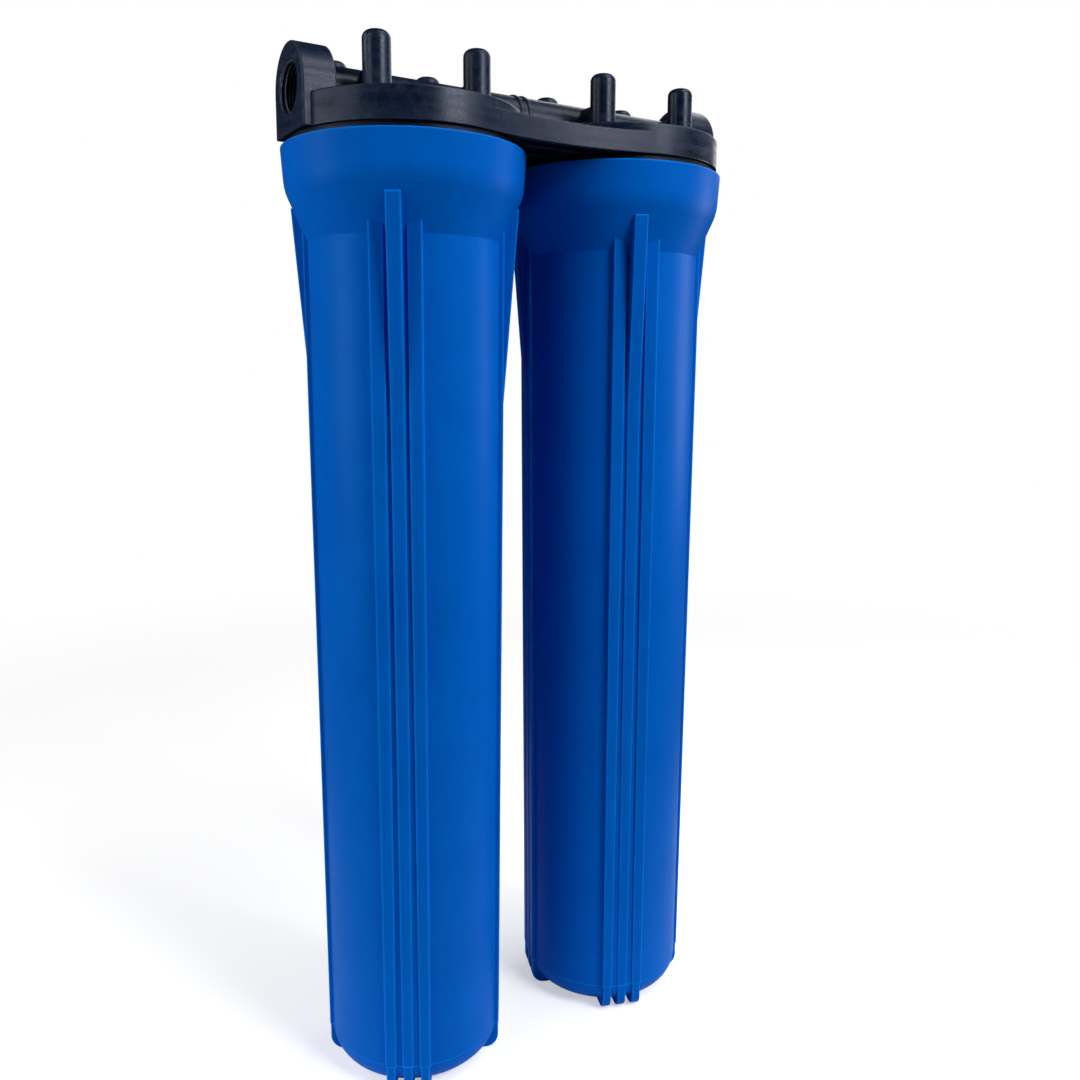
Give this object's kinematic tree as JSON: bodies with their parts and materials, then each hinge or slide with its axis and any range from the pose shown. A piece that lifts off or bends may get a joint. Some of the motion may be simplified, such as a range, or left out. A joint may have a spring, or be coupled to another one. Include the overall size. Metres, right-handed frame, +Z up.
{
  "type": "twin cartridge filter housing",
  "caption": "Two long blue ribbed sumps screwed under one black moulded head with a threaded port at each end.",
  "frame": {"origin": "on the plane of the sumps' feet, midway between the two sumps", "axes": "+X along the row of sumps towards the outlet port, -Y to the front, +Z up"},
  "size_m": [0.276, 0.1346, 0.5837],
  "materials": {
    "black_head": "satin moulded polypropylene",
    "blue_sump": "satin moulded polypropylene",
    "seal_rubber": "smooth nitrile, lightly greased",
    "gasket_rubber": "matt closed-cell rubber",
    "white_plastic": "matt moulded polypropylene",
    "pleated_paper": "pleated filter paper",
    "carbon": "rough extruded carbon",
    "felt": "soft fibre wrap",
    "netting": "diamond net sleeve"
  },
  "bodies": {
    "head": {"twin_head": "black_head"},
    "left_cartridge": {"left_core": "white_plastic", "left_pleated_media": "pleated_paper", "left_outer_cage": "white_plastic", "left_upper_end_cap": "white_plastic", "left_lower_end_cap": "white_plastic", "left_upper_gasket": "gasket_rubber", "left_lower_gasket": "gasket_rubber"},
    "left_bowl": {"left_sump": "blue_sump", "left_sump_oring": "seal_rubber"},
    "right_cartridge": {"right_carbon_block": "carbon", "right_inner_wrap": "felt", "right_outer_wrap": "felt", "right_netting": "netting", "right_upper_end_cap": "white_plastic", "right_lower_end_cap": "white_plastic", "right_upper_gasket": "gasket_rubber", "right_lower_gasket": "gasket_rubber"},
    "right_bowl": {"right_sump": "blue_sump", "right_sump_oring": "seal_rubber"}
  },
  "joints": [
    {"name": "left_lower", "type": "slide", "parent": "head", "child": "left_cartridge", "axis": [0, 0, -1], "range_m": [0, 0.021]},
    {"name": "left_unscrew", "type": "hinge", "parent": "left_cartridge", "child": "left_bowl", "pos_m": [-0.0707, 0, 0.532], "axis": [0, 0, -1], "range_deg": [0, 1260]},
    {"name": "right_lower", "type": "slide", "parent": "head", "child": "right_cartridge", "axis": [0, 0, -1], "range_m": [0, 0.021]},
    {"name": "right_unscrew", "type": "hinge", "parent": "right_cartridge", "child": "right_bowl", "pos_m": [0.0707, 0, 0.532], "axis": [0, 0, -1], "range_deg": [0, 1260]}
  ],
  "couplings": [
    {"joint": "left_lower", "follows": "left_unscrew", "m_per_rad": 0.00095492},
    {"joint": "right_lower", "follows": "right_unscrew", "m_per_rad": 0.00095492}
  ]
}
